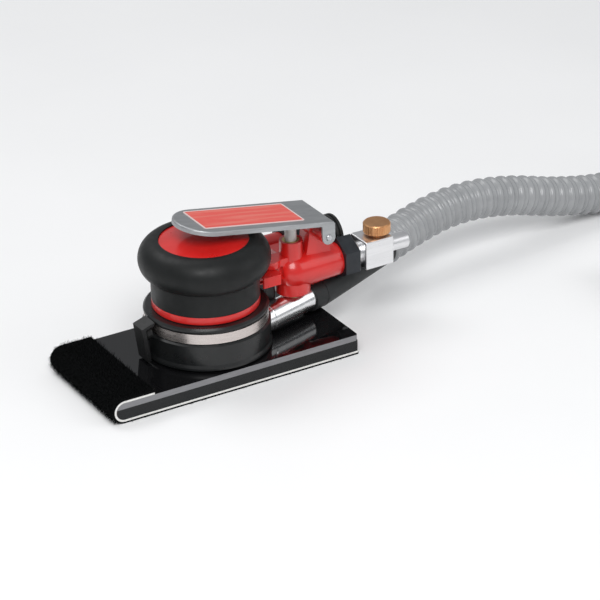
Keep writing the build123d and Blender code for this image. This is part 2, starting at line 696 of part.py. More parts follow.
# ---------------------------------------------------------------- inlet fittings
def make_inlet():
    """Hex bushing, strainer, regulator block, brass knob with its seal, and air plug."""
    with BuildPart() as bushing:
        with BuildSketch(Plane.YZ.offset(NUT_X[0])):
            with Locations((0, ARM_Z)):
                RegularPolygon(NUT_FLATS / 2, 6, major_radius=False, rotation=30)
        extrude(amount=NUT_X[1] - NUT_X[0])
        chamfer(bushing.edges().group_by(Axis.X)[-1], 0.8)
        rod_x(6.55, 72.0, NUT_X[0], 0, ARM_Z)
        rod_x(4.0, 71.0, NUT_X[1] + 1, 0, ARM_Z, mode=Mode.SUBTRACT)
    save(bushing, "inlet_bushing")

    with BuildPart() as strainer:
        rod_x(6.4, 70.3, 71.8, 0, ARM_Z)
        with BuildSketch(Plane.YZ.offset(70.0)):
            with Locations((0, ARM_Z)):
                with PolarLocations(3.6, 8):
                    Circle(0.8)
                Circle(1.0)
        extrude(amount=3.0, mode=Mode.SUBTRACT)
    save(strainer, "inlet_strainer")

    half = BLOCK_SIDE / 2
    with BuildPart() as regulator:
        block(BLOCK_X, (-half, half), (ARM_Z - half, ARM_Z + half))
        fillet(regulator.edges(), 0.9)
        rod_x(6.2, NUT_X[1] + 0.05, BLOCK_X[0] + 1.0, 0, ARM_Z)
        rod_x(3.95, 86.0, NUT_X[1] + 0.1, 0, ARM_Z)
        rod_x(2.5, 85.0, BLOCK_X[1] + 1, 0, ARM_Z, mode=Mode.SUBTRACT)
        rod_x(3.5, BLOCK_X[1] - 2.5, BLOCK_X[1] + 1, 0, ARM_Z, mode=Mode.SUBTRACT)
        disc(3.4, ARM_Z - 1.0, ARM_Z + half + 1, KNOB_X, mode=Mode.SUBTRACT)
    save(regulator, "regulator_block")

    with BuildPart() as knob:
        disc(KNOB_R, *KNOB_Z, KNOB_X)
        chamfer(knob.edges().filter_by(GeomType.CIRCLE), 0.7)
        with BuildSketch(Plane.XY.offset(KNOB_Z[0])):
            with Locations((KNOB_X, 0)):
                with PolarLocations(KNOB_R + 0.12, 36):
                    Circle(0.42)
        extrude(amount=KNOB_Z[1] - KNOB_Z[0], mode=Mode.SUBTRACT)
        disc(3.3, 43.5, KNOB_Z[0], KNOB_X)
        disc(4.4, ARM_Z + half + 0.15, KNOB_Z[0], KNOB_X)
        with BuildSketch(Plane.XY.offset(45.0)):
            with Locations((KNOB_X, 0)):
                Circle(4.0)
                Circle(2.45, mode=Mode.SUBTRACT)
        extrude(amount=1.5, mode=Mode.SUBTRACT)
    save(knob, "flow_knob")

    with BuildPart() as knob_seal:
        with Locations((KNOB_X, 0, 45.75)):
            Torus(2.9, 0.42)
    save(knob_seal, "knob_seal")

    with BuildPart() as air_plug:
        rod_x(3.45, BLOCK_X[1] - 2.3, BLOCK_X[1] + 1, 0, ARM_Z)
        rod_x(4.8, BLOCK_X[1] + 0.05, PLUG_END, 0, ARM_Z)
        fillet(air_plug.edges().group_by(Axis.X)[-1], 0.6)
        rod_x(2.0, 110.0, PLUG_END + 1, 0, ARM_Z, mode=Mode.SUBTRACT)
    save(air_plug, "air_plug")


# ---------------------------------------------------------------- muffler
def make_muffler():
    """Plastic silencer: barrel, ribbed end cap and felt core."""
    split = 84.0
    with BuildPart() as barrel:
        rod_x(MUFFLER_R - 0.7, MUFFLER_X[0], split, MUFFLER_Y, MUFFLER_Z)
        rod_x(9.0, MUFFLER_X[0] + 3.0, split + 1, MUFFLER_Y, MUFFLER_Z, mode=Mode.SUBTRACT)
        rod_x(4.5, MUFFLER_X[0] - 1, split, MUFFLER_Y, MUFFLER_Z, mode=Mode.SUBTRACT)
        rod_x(5.95, 54.0, MUFFLER_X[0], MUFFLER_Y, MUFFLER_Z)
        rod_x(4.5, 53.0, MUFFLER_X[0] + 1, MUFFLER_Y, MUFFLER_Z, mode=Mode.SUBTRACT)
    save(barrel, "muffler_barrel")

    with BuildPart() as cap:
        rod_x(MUFFLER_R, split + 0.05, MUFFLER_X[1], MUFFLER_Y, MUFFLER_Z)
        fillet(cap.edges().group_by(Axis.X)[-1], 1.2)
        rod_x(9.0, split, MUFFLER_X[1] - 2.5, MUFFLER_Y, MUFFLER_Z, mode=Mode.SUBTRACT)
        for groove in range(4):
            start = split + 2.6 + 2.7 * groove
            with BuildSketch(Plane.YZ.offset(start)):
                with Locations((MUFFLER_Y, MUFFLER_Z)):
                    Circle(MUFFLER_R + 1)
                    Circle(MUFFLER_R - 0.9, mode=Mode.SUBTRACT)
            extrude(amount=1.1, mode=Mode.SUBTRACT)
        with BuildSketch(Plane.YZ.offset(MUFFLER_X[1] - 3)):
            with Locations((MUFFLER_Y, MUFFLER_Z)):
                with PolarLocations(5.6, 8):
                    Circle(1.3)
        extrude(amount=4, mode=Mode.SUBTRACT)
    save(cap, "muffler_cap")

    with BuildPart() as felt:
        rod_x(8.9, MUFFLER_X[0] + 3.2, MUFFLER_X[1] - 2.7, MUFFLER_Y, MUFFLER_Z)
        rod_x(3.5, MUFFLER_X[0] + 3.0, MUFFLER_X[1] - 6, MUFFLER_Y, MUFFLER_Z, mode=Mode.SUBTRACT)
    save(felt, "muffler_felt")


# ---------------------------------------------------------------- dust tube, adapter and hose
def make_dust_tube():
    """Polished outlet tube, the collar on its end and the tapered hose adapter."""
    with BuildPart() as tube:
        with BuildSketch(dust_plane(-18.0)):
            Circle(TUBE_R - TUBE_STEP)
        extrude(amount=18.0 + TUBE_LIP)
        with BuildSketch(dust_plane(TUBE_LIP)):
            Circle(TUBE_R)
        extrude(amount=NECK - TUBE_LIP)
        with BuildSketch(dust_plane(NECK)):
            Circle(TUBE_R - TUBE_STEP)
        extrude(amount=COLLAR[0] - NECK)
        with BuildSketch(dust_plane(COLLAR[0])):
            Circle(TUBE_BORE)
        extrude(amount=6.0)
        with BuildSketch(dust_plane(-20.0)):
            Circle(TUBE_BORE - 0.8)
        extrude(amount=20.0 + COLLAR[1], mode=Mode.SUBTRACT)
        disc(SHROUD_BORE + 0.05, 0, BAND_Z[1], mode=Mode.SUBTRACT)
    save(tube, "dust_tube")

    with BuildPart() as collar:
        with BuildSketch(dust_plane(COLLAR[0] + 0.05)):
            Circle(COLLAR_R)
            Circle(TUBE_BORE, mode=Mode.SUBTRACT)
        extrude(amount=COLLAR[1] - COLLAR[0] - 0.1)
    save(collar, "adapter_collar")

    start = dust_plane(COLLAR[1]).origin
    run = Vector(*HOSE_ROUTE[0]) - start
    heading = run.normalized()
    middle = Plane(origin=start + run * 0.38, z_dir=heading)
    end = Plane(origin=start + run, z_dir=heading)
    with BuildPart() as adapter:
        with BuildSketch(dust_plane(COLLAR[1])):
            Circle(ADAPTER_R[0])
        with BuildSketch(middle):
            Circle(ADAPTER_R[1])
        with BuildSketch(end):
            Circle(ADAPTER_R[2])
        loft(ruled=True)
        with BuildSketch(dust_plane(COLLAR[1] - 1)):
            Circle(TUBE_BORE)
        with BuildSketch(Plane(origin=start + run * 1.02, z_dir=heading)):
            Circle(TUBE_BORE)
        loft(ruled=True, mode=Mode.SUBTRACT)
    save(adapter, "hose_adapter")


def corner_radii(points):
    """Fillet radii: 0.45 of the shorter run over the tangent of half the turn."""
    radii = []
    for before, here, after in zip(points, points[1:], points[2:]):
        first = Vector(*here) - Vector(*before)
        second = Vector(*after) - Vector(*here)
        half_turn = math.radians(first.get_angle(second)) / 2
        radii.append(0.45 * min(first.length, second.length) / math.tan(half_turn))
    return radii


def make_hose():
    """Free stretch of the hose, the open ring that its rest is laid in, and its end cuff."""
    radii = corner_radii(HOSE_ROUTE)
    print("hose radii", [round(radius) for radius in radii])
    with BuildPart() as hose:
        with BuildLine():
            path = FilletPolyline(*HOSE_ROUTE, radius=radii)
        with BuildSketch(Plane(origin=path @ 0, z_dir=path % 0)):
            Circle(HOSE_R)
        sweep()
    save(hose, "hose_tube")
    expected = math.pi * HOSE_R**2 * path.length
    print("hose tube length", round(path.length, 1), "volume ratio", hose.part.volume / expected)

    with BuildPart() as coil:
        with BuildSketch(Plane.YZ.offset(COIL_CENTRE.X)):
            with Locations((COIL_CENTRE.Y + COIL_R, COIL_CENTRE.Z)):
                Circle(HOSE_R)
        revolve(axis=Axis((COIL_CENTRE.X, COIL_CENTRE.Y, 0), (0, 0, -1)), revolution_arc=COIL_SWEEP)
    save(coil, "hose_coil")
    print("coil length", round(math.radians(COIL_SWEEP) * COIL_R, 1))

    turn = math.radians(90.0 - COIL_SWEEP)
    end = COIL_CENTRE + Vector(math.cos(turn), math.sin(turn), 0) * COIL_R
    heading = Vector(math.sin(turn), -math.cos(turn), 0)
    with BuildPart() as cuff:
        with BuildSketch(Plane(origin=end, z_dir=heading)):
            Circle(FLOOR_Z - 0.1)
        extrude(amount=CUFF_LENGTH)
        with BuildSketch(Plane(origin=end + heading * 14.0, z_dir=heading)):
            Circle(10.0)
        extrude(amount=CUFF_LENGTH, mode=Mode.SUBTRACT)
    save(cuff, "hose_cuff")
    print("cuff from", end, "heading", heading)


os.makedirs("parts", exist_ok=True)
make_pad()
make_spindle()
make_rotor()
make_motor_case()
make_housing()
make_grip_cover()
make_shroud()
make_front_stop()
make_valve()
make_lever()
make_speed_regulator()
make_inlet()
make_muffler()
make_dust_tube()
make_hose()
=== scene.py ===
import json
import math

import bpy
import numpy as np
from mathutils import Matrix, Vector


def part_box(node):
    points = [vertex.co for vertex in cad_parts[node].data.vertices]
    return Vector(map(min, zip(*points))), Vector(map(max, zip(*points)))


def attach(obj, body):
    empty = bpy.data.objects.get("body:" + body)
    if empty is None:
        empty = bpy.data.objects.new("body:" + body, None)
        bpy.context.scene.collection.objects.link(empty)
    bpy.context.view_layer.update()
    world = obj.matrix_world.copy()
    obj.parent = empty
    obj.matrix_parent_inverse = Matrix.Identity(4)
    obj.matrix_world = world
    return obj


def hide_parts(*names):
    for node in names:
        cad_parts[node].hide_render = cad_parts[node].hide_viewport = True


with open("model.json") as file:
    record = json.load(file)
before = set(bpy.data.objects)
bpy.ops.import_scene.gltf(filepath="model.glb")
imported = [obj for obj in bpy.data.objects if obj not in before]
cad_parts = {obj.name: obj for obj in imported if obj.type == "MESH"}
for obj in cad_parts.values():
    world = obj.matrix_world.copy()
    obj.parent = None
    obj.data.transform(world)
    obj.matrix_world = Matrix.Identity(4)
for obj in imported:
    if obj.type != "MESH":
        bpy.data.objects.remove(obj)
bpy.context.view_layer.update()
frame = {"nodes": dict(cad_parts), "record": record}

nodes = frame["nodes"]
scene = bpy.context.scene

# ---------------------------------------------------------------- places and sizes, in metres
pad_low, pad_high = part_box("hook_nap")
floor_z = 0.0

# hose: route of the free stretch, then the ring it is laid in
HOSE_D = 0.0243
HOSE_PITCH = 0.0077
HOSE_BORE = 0.80  # share of the diameter
MOUTH_DEPTH = 0.010
HOSE_SIDES = 40
HOSE_ROUTE = [
    (0.1315, 0.0265, 0.0266),
    (0.1650, 0.0370, 0.0310),
    (0.1970, 0.0388, 0.0340),
    (0.2300, 0.0396, 0.0294),
    (0.2630, 0.0400, 0.0192),
    (0.2980, 0.0404, 0.0126),
    (0.3250, 0.0407, 0.0123),
    (0.3520, 0.0412, 0.0123),
    (0.3800, 0.0412, 0.0123),
]
COIL_R = 0.119
COIL_SWEEP = math.radians(265.0)
COIL_STEPS = 16
SPLINE_STEPS = 24

# one rib of the hose: share of the pitch, and radius as a share of the full radius
RIB = [
    (0.00, 0.870),
    (0.05, 0.905),
    (0.12, 0.965),
    (0.20, 0.993),
    (0.28, 1.000),
    (0.36, 0.993),
    (0.44, 0.965),
    (0.51, 0.905),
    (0.56, 0.870),
    (0.64, 0.875),
    (0.70, 0.905),
    (0.78, 0.918),
    (0.86, 0.905),
    (0.93, 0.875),
]

# wrapped nose of the pad, outside the hook nap
NOSE_R = (pad_high.z - pad_low.z) / 2
NOSE_X = pad_low.x + NOSE_R
NOSE_Z = pad_low.z + NOSE_R
STRIP_REAR = -0.0535
HALF_WIDTH = pad_high.y

# hooks of the nap: spacing, how far the strip wraps round the nose, and the strands
NAP_GAP = 0.00105
NAP_WRAP = math.radians(158.0)
NAP_JITTER = 0.3
NAP_HEIGHT = (0.0010, 0.0022)
NAP_STRAND = 0.0002
EDGE_GAP = 0.0009
EDGE_HEIGHT = (0.0004, 0.0013)
EDGE_RISE = (0.00035, 0.00075)
EDGE_STRAND = 0.00017
ROOT_SINK = 0.0001
FLOOR_GAP = 0.00005
TUFT_LEVELS = 4
TUFT_SIDES = 3
TUFT_BEND = 1.45
TUFT_LEAN = 0.75
TUFT_TAPER = 0.55

# lever's top face, for the label: a point on it and its tilt
LEVER_POINT = (0.0003, 0.0, 0.08735)
LEVER_TILT = math.radians(9.9)
LABEL_MIDDLE = (0.026, 0.0006)
LABEL_SIZE = (0.064, 0.026)
LABEL_RIM = (0.0011, 0.0009)


# ---------------------------------------------------------------- camera, light and floor
def make_camera():
    """Long lens on the sander from its front left, a little above."""
    azimuth, elevation, roll = (math.radians(a) for a in (-30.370, 26.809, -1.131))
    distance = 1.7
    target = Vector((0.0603, 0.0, 0.022023))
    back = Vector(
        (
            math.sin(azimuth) * math.cos(elevation),
            -math.cos(azimuth) * math.cos(elevation),
            math.sin(elevation),
        )
    )
    right = Vector((math.cos(azimuth), math.sin(azimuth), 0.0))
    up = back.cross(right)
    rolled_right = right * math.cos(roll) + up * math.sin(roll)
    rolled_up = up * math.cos(roll) - right * math.sin(roll)
    data = bpy.data.cameras.new("camera")
    data.sensor_width = 36.0
    data.lens = 180.79
    data.clip_start = 0.05
    data.clip_end = 20.0
    camera = bpy.data.objects.new("camera", data)
    turn = Matrix((rolled_right, rolled_up, back)).transposed().to_4x4()
    camera.matrix_world = Matrix.Translation(target + back * distance) @ turn
    scene.collection.objects.link(camera)
    scene.camera = camera


def area_light(name, place, aim, size, power):
    """Square soft box aimed at a point."""
    data = bpy.data.lights.new(name, "AREA")
    data.shape = "SQUARE"
    data.size = size
    data.energy = power
    lamp = bpy.data.objects.new(name, data)
    lamp.location = place
    lamp.rotation_euler = (Vector(aim) - Vector(place)).to_track_quat("-Z", "Y").to_euler()
    scene.collection.objects.link(lamp)


def make_studio():
    """Pale floor, even white surroundings and soft boxes."""
    world = bpy.data.worlds.new("studio")
    world.use_nodes = True
    world.node_tree.nodes["Background"].inputs["Color"].default_value = (0.95, 0.97, 1.0, 1.0)
    world.node_tree.nodes["Background"].inputs["Strength"].default_value = 0.38
    scene.world = world
    area_light("key_light", (-0.5, -0.9, 1.3), (0.03, 0.0, 0.04), 0.9, 16.0)
    area_light("fill_light", (1.2, -0.9, 0.8), (0.05, 0.0, 0.04), 1.0, 3.8)
    area_light("back_light", (-0.3, 1.0, 1.6), (0.05, 0.0, 0.04), 1.0, 9.0)
    mesh = bpy.data.meshes.new("floor")
    half = 3.0
    corners = [(-half, -half), (half, -half), (half, half), (-half, half)]
    mesh.from_pydata([(x, y, floor_z) for x, y in corners], [], [(0, 1, 2, 3)])
    floor = bpy.data.objects.new("floor", mesh)
    scene.collection.objects.link(floor)
    surface = new_material("floor_paper", (0.95, 0.95, 0.95), 0.65)
    mottle(surface, (0.95, 0.95, 0.95), (0.97, 0.97, 0.97), 6.0)
    mesh.materials.append(surface)
    scene.view_settings.view_transform = "Standard"


# ---------------------------------------------------------------- material helpers
def new_material(name, color, roughness, metallic=0.0, **sockets):
    """Material with one Principled shader; extra keywords are socket names with underscores."""
    surface = bpy.data.materials.new(name)
    surface.use_nodes = True
    shader = surface.node_tree.nodes["Principled BSDF"]
    shader.inputs["Base Color"].default_value = (*color, 1.0)
    shader.inputs["Roughness"].default_value = roughness
    shader.inputs["Metallic"].default_value = metallic
    for key, value in sockets.items():
        shader.inputs[key.replace("_", " ")].default_value = value
    return surface


def shader_of(surface):
    """A material's Principled shader."""
    return surface.node_tree.nodes["Principled BSDF"]


def place_of(surface):
    """Object coordinates, from a node made once for each material."""
    tree = surface.node_tree
    coordinates = tree.nodes.get("place") or tree.nodes.new("ShaderNodeTexCoord")
    coordinates.name = "place"
    return coordinates.outputs["Object"]


def feed(surface, name, value):
    """Links a value to one of the shader's sockets."""
    surface.node_tree.links.new(value, shader_of(surface).inputs[name])


def noise(surface, scale, detail=3.0, stretch=(1.0, 1.0, 1.0)):
    """Noise factor in object space; scale is in features per metre."""
    tree = surface.node_tree
    mapping = tree.nodes.new("ShaderNodeMapping")
    mapping.inputs["Scale"].default_value = stretch
    texture = tree.nodes.new("ShaderNodeTexNoise")
    texture.inputs["Scale"].default_value = scale
    texture.inputs["Detail"].default_value = detail
    tree.links.new(place_of(surface), mapping.inputs["Vector"])
    tree.links.new(mapping.outputs["Vector"], texture.inputs["Vector"])
    return texture.outputs["Fac"]


def mottle(surface, first, second, scale, stretch=(1.0, 1.0, 1.0)):
    """Base colour that drifts between two close colours."""
    tree = surface.node_tree
    ramp = tree.nodes.new("ShaderNodeValToRGB")
    for stop, position, color in zip(ramp.color_ramp.elements, (0.35, 0.65), (first, second)):
        stop.position = position
        stop.color = (*color, 1.0)
    tree.links.new(noise(surface, scale, 3.0, stretch), ramp.inputs["Fac"])
    feed(surface, "Base Color", ramp.outputs["Color"])


def rough_range(surface, low, high, scale, stretch=(1.0, 1.0, 1.0)):
    """Roughness that varies between two values."""
    feed(surface, "Roughness", spread(surface, noise(surface, scale, 4.0, stretch), 0.3, 0.7, low, high))


def grain(surface, scale, depth, stretch=(1.0, 1.0, 1.0)):
    """Fine bump of a real depth, in metres."""
    tree = surface.node_tree
    bump = tree.nodes.new("ShaderNodeBump")
    bump.inputs["Strength"].default_value = 1.0
    bump.inputs["Distance"].default_value = depth
    tree.links.new(noise(surface, scale, 2.0, stretch), bump.inputs["Height"])
    feed(surface, "Normal", bump.outputs["Normal"])


def paint(surface, *names):
    """Gives a material to CAD nodes."""
    for name in names:
        materials = nodes[name].data.materials
        materials.clear()
        materials.append(surface)


def smooth(piece, angle=35.0):
    """Smooth shading that keeps hard edges."""
    for face in piece.data.polygons:
        face.use_smooth = True
    piece.data.set_sharp_from_angle(angle=math.radians(angle))


# ---------------------------------------------------------------- node helpers
def math_node(surface, kind, first, second):
    """Math node on two sockets or numbers."""
    tree = surface.node_tree
    node = tree.nodes.new("ShaderNodeMath")
    node.operation = kind
    for place, value in enumerate((first, second)):
        if isinstance(value, (int, float)):
            node.inputs[place].default_value = value
        else:
            tree.links.new(value, node.inputs[place])
    return node.outputs["Value"]


def along(surface, direction, origin):
    """Distance of a point from origin along a direction, in the part's frame."""
    tree = surface.node_tree
    offset = tree.nodes.new("ShaderNodeVectorMath")
    offset.operation = "SUBTRACT"
    offset.inputs[1].default_value = origin
    tree.links.new(place_of(surface), offset.inputs[0])
    product = tree.nodes.new("ShaderNodeVectorMath")
    product.operation = "DOT_PRODUCT"
    product.inputs[1].default_value = direction
    tree.links.new(offset.outputs["Vector"], product.inputs[0])
    return product.outputs["Value"]


def mix_colours(surface, factor, first, second):
    """Colour mix of two colours or colour sockets."""
    tree = surface.node_tree
    node = tree.nodes.new("ShaderNodeMix")
    node.data_type = "RGBA"
    tree.links.new(factor, node.inputs["Factor"])
    for name, value in (("A", first), ("B", second)):
        socket = [item for item in node.inputs if item.name == name and item.type == "RGBA"][0]
        if isinstance(value, tuple):
            socket.default_value = (*value, 1.0)
        else:
            tree.links.new(value, socket)
    return [item for item in node.outputs if item.type == "RGBA"][0]


def spread(surface, value, low_in, high_in, low, high):
    """Map Range on a value socket."""
    tree = surface.node_tree
    node = tree.nodes.new("ShaderNodeMapRange")
    for name, number in zip(("From Min", "From Max", "To Min", "To Max"), (low_in, high_in, low, high)):
        node.inputs[name].default_value = number
    tree.links.new(value, node.inputs["Value"])
    return node.outputs["Result"]


def pores(surface, scale, depth):
    """Round pores, scale of them per metre."""
    tree = surface.node_tree
    cells = tree.nodes.new("ShaderNodeTexVoronoi")
    cells.inputs["Scale"].default_value = scale
    tree.links.new(place_of(surface), cells.inputs["Vector"])
    bump = tree.nodes.new("ShaderNodeBump")
    bump.inputs["Distance"].default_value = depth
    tree.links.new(spread(surface, cells.outputs["Distance"], 0.15, 0.5, 0.0, 1.0), bump.inputs["Height"])
    feed(surface, "Normal", bump.outputs["Normal"])
    return cells.outputs["Distance"]


# ---------------------------------------------------------------- materials
# slot: first and second colour, colour features per metre, lowest and highest roughness,
# metallic, grain features per metre and depth in metres, stretch of both
PLAIN = {
    "cast_iron_plate": ((0.20, 0.20, 0.21), (0.26, 0.26, 0.27), 300, 0.35, 0.5, 1.0, 900, 1e-5, (1, 1, 1)),
    "tool_steel": ((0.44, 0.44, 0.46), (0.52, 0.52, 0.54), 120, 0.22, 0.34, 1.0, 700, 4e-6, (1, 1, 12)),
    "bearing_steel": ((0.62, 0.62, 0.64), (0.68, 0.68, 0.70), 160, 0.1, 0.2, 1.0, 900, 2e-6, (1, 1, 8)),
    "seal_rubber": ((0.018, 0.018, 0.019), (0.028, 0.028, 0.03), 300, 0.4, 0.55, 0.0, 1500, 8e-6, (1, 1, 1)),
    "spring_steel": ((0.34, 0.34, 0.36), (0.42, 0.42, 0.44), 260, 0.25, 0.4, 1.0, 900, 4e-6, (1, 1, 3)),
    "felt": ((0.50, 0.47, 0.38), (0.60, 0.57, 0.48), 700, 0.9, 1.0, 0.0, 2200, 6e-5, (1, 1, 1)),
    "vane_plastic": ((0.14, 0.08, 0.035), (0.20, 0.12, 0.055), 500, 0.45, 0.6, 0.0, 1400, 1e-5, (1, 1, 6)),
    "red_plastic": ((0.68, 0.016, 0.014), (0.74, 0.022, 0.018), 150, 0.26, 0.36, 0.0, 700, 1e-5, (1, 1, 1)),
    "grip_rubber": (
        (0.0075, 0.0085, 0.0085), (0.011, 0.012, 0.012),
        90, 0.40, 0.52, 0.0, 2600, 1.2e-5, (1, 1, 1),
    ),
    "shroud_rubber": (
        (0.006, 0.0068, 0.007), (0.010, 0.011, 0.0115),
        70, 0.26, 0.36, 0.0, 900, 1e-5, (1, 1, 1),
    ),
    "black_plastic": (
        (0.006, 0.0062, 0.0065), (0.010, 0.0105, 0.011),
        160, 0.38, 0.5, 0.0, 1800, 1.2e-5, (1, 1, 1),
    ),
    "adapter_rubber": (
        (0.016, 0.018, 0.0185), (0.024, 0.026, 0.027),
        60, 0.5, 0.62, 0.0, 1500, 1.5e-5, (1, 1, 1),
    ),
    "black_steel": ((0.018, 0.021, 0.026), (0.026, 0.030, 0.036), 220, 0.38, 0.5, 0.3, 1200, 6e-6, (1, 1, 1)),
    "band_steel": ((0.60, 0.545, 0.52), (0.66, 0.60, 0.575), 60, 0.24, 0.32, 1.0, 260, 3e-6, (1, 1, 30)),
    "fastener_steel": ((0.50, 0.50, 0.52), (0.58, 0.58, 0.60), 300, 0.22, 0.34, 1.0, 900, 4e-6, (1, 1, 1)),
    "valve_brass": ((0.55, 0.40, 0.17), (0.62, 0.46, 0.21), 200, 0.25, 0.38, 1.0, 700, 5e-6, (1, 1, 8)),
    "block_nickel": ((0.78, 0.78, 0.79), (0.84, 0.84, 0.85), 120, 0.26, 0.38, 1.0, 380, 6e-6, (0.2, 6, 6)),
    "polished_aluminium": (
        (0.78, 0.79, 0.80), (0.84, 0.845, 0.855),
        60, 0.16, 0.26, 1.0, 300, 4e-6, (8, 1, 1),
    ),
    "lever_steel": ((0.38, 0.39, 0.40), (0.44, 0.45, 0.46), 70, 0.40, 0.50, 0.85, 320, 6e-6, (0.3, 6, 6)),
    "white_nylon": ((0.72, 0.71, 0.68), (0.78, 0.77, 0.74), 250, 0.4, 0.5, 0.0, 900, 8e-6, (1, 1, 1)),
    "hook_white": ((0.70, 0.69, 0.66), (0.82, 0.81, 0.79), 900, 0.8, 0.95, 0.0, 1600, 4e-5, (1, 3, 1)),
    "hook_black": (
        (0.0012, 0.0014, 0.0015), (0.0045, 0.005, 0.0052),
        700, 0.8, 0.95, 0.0, 1100, 2e-4, (1, 1, 1),
    ),
    "knob_brass": ((0.66, 0.33, 0.15), (0.74, 0.40, 0.19), 140, 0.28, 0.42, 1.0, 900, 8e-6, (1, 1, 1)),
    "hose_grey": ((0.31, 0.317, 0.325), (0.35, 0.357, 0.365), 50, 0.11, 0.19, 0.0, 700, 1e-5, (1, 1, 1)),
}

# dull finishes: their specular level
SPECULAR = {"grip_rubber": 0.26, "hook_black": 0.06, "adapter_rubber": 0.35, "felt": 0.1, "hook_white": 0.2}


def plain_material(slot, row):
    """Finish with drifting colour, uneven roughness and a fine grain."""
    first, second, patch, smoothest, roughest, metallic, grains, depth, stretch = row
    surface = new_material(slot, first, roughest, metallic)
    mottle(surface, first, second, patch, stretch)
    rough_range(surface, smoothest, roughest, patch * 2.5, stretch)
    grain(surface, grains, depth, stretch)
    return surface


def enamel():
    """Thick glossy red enamel over a casting, slightly uneven."""
    red = new_material("red_paint", (0.66, 0.014, 0.012), 0.3, Coat_Weight=0.5, Coat_Roughness=0.06)
    mottle(red, (0.63, 0.012, 0.010), (0.70, 0.017, 0.014), 60.0)
    rough_range(red, 0.26, 0.36, 90.0)
    grain(red, 330.0, 0.00004)
    return red


def gloss_plate():
    """Mirror-black coat on the plate's top; its cut sides are bare satin metal."""
    plate = new_material("plate_black", (0.004, 0.004, 0.0045), 0.05)
    tree = plate.node_tree
    shape = tree.nodes.new("ShaderNodeNewGeometry")
    parts = tree.nodes.new("ShaderNodeSeparateXYZ")
    tree.links.new(shape.outputs["Normal"], parts.inputs["Vector"])
    top = spread(plate, parts.outputs["Z"], 0.80, 0.92, 0.0, 1.0)
    bare = mix_colours(plate, noise(plate, 150.0, 3.0, (1, 1, 8)), (0.20, 0.20, 0.21), (0.30, 0.30, 0.31))
    coat = mix_colours(plate, noise(plate, 40.0), (0.003, 0.003, 0.0035), (0.006, 0.006, 0.0065))
    feed(plate, "Base Color", mix_colours(plate, top, bare, coat))
    feed(plate, "Roughness", spread(plate, top, 0.0, 1.0, 0.42, 0.035))
    feed(plate, "Metallic", spread(plate, top, 0.0, 1.0, 0.6, 0.0))
    return plate


def foam():
    """Fine-pored black foam, with painted shade darkening each pore's hollow."""
    soft = new_material("pad_foam", (0.012, 0.013, 0.014), 0.8)
    cells = pores(soft, 1500.0, 0.00012)
    # painted shade: the base colour darkens towards each pore's middle, where its bump hollow is deepest
    depth = spread(soft, cells, 0.1, 0.6, 0.0, 1.0)
    feed(soft, "Base Color", mix_colours(soft, depth, (0.003, 0.0034, 0.0038), (0.012, 0.013, 0.014)))
    return soft


def label_film():
    """Red film with a pale rim and faint streaks along it; no lettering."""
    film = new_material("label_film", (0.72, 0.10, 0.08), 0.34, Coat_Weight=0.3, Coat_Roughness=0.2)
    along_lever = along(film, (math.cos(LEVER_TILT), 0.0, -math.sin(LEVER_TILT)), LEVER_POINT)
    across = along(film, (0.0, 1.0, 0.0), LEVER_POINT)
    rims = []
    for value, middle, size in zip((along_lever, across), LABEL_MIDDLE, LABEL_SIZE):
        offset = math_node(film, "ABSOLUTE", math_node(film, "SUBTRACT", value, middle), 0.0)
        rims.append(spread(film, offset, size / 2 - LABEL_RIM[0], size / 2 - LABEL_RIM[1], 0.0, 1.0))
    rim = math_node(film, "MAXIMUM", rims[0], rims[1])
    streaks = spread(film, noise(film, 260.0, 2.0, (0.12, 1.6, 0.12)), 0.46, 0.62, 0.0, 0.42)
    body = mix_colours(film, streaks, (0.78, 0.080, 0.058), (0.82, 0.27, 0.20))
    feed(film, "Base Color", mix_colours(film, rim, body, (0.78, 0.62, 0.60)))
    rough_range(film, 0.3, 0.42, 200.0)
    return film


def make_materials():
    """Every finish, by slot."""
    made = {slot: plain_material(slot, row) for slot, row in PLAIN.items()}
    made["red_paint"] = enamel()
    for slot, level in SPECULAR.items():
        shader_of(made[slot]).inputs["Specular IOR Level"].default_value = level
    made["plate_black"] = gloss_plate()
    made["pad_foam"] = foam()
    made["label_film"] = label_film()
    return made


# ---------------------------------------------------------------- hose
def hose_line():
    """Points read from one smooth spline: the route, then the ring."""
    points = [Vector(point) for point in HOSE_ROUTE]
    centre = points[-1] - Vector((0.0, COIL_R, 0.0))
    step = COIL_SWEEP / COIL_STEPS
    outer = COIL_R / math.cos(step / 2)
    for number in range(1, COIL_STEPS + 1):
        turn = math.pi / 2 - (number - 0.5) * step
        points.append(centre + Vector((math.cos(turn), math.sin(turn), 0.0)) * outer)
    turn = math.pi / 2 - COIL_SWEEP
    points.append(centre + Vector((math.cos(turn), math.sin(turn), 0.0)) * COIL_R)
    curve = bpy.data.curves.new("hose_route", "CURVE")
    curve.dimensions = "3D"
    curve.resolution_u = SPLINE_STEPS
    spline = curve.splines.new("NURBS")
    spline.points.add(len(points) - 1)
    for slot, point in zip(spline.points, points):
        slot.co = (*point, 1.0)
    spline.order_u = 3
    spline.use_endpoint_u = True
    guide = bpy.data.objects.new("hose_route", curve)
    scene.collection.objects.link(guide)
    bpy.context.view_layer.update()
    mesh = bpy.data.meshes.new_from_object(guide)
    line = [vertex.co.copy() for vertex in mesh.vertices]
    bpy.data.meshes.remove(mesh)
    bpy.data.objects.remove(guide)
    return line


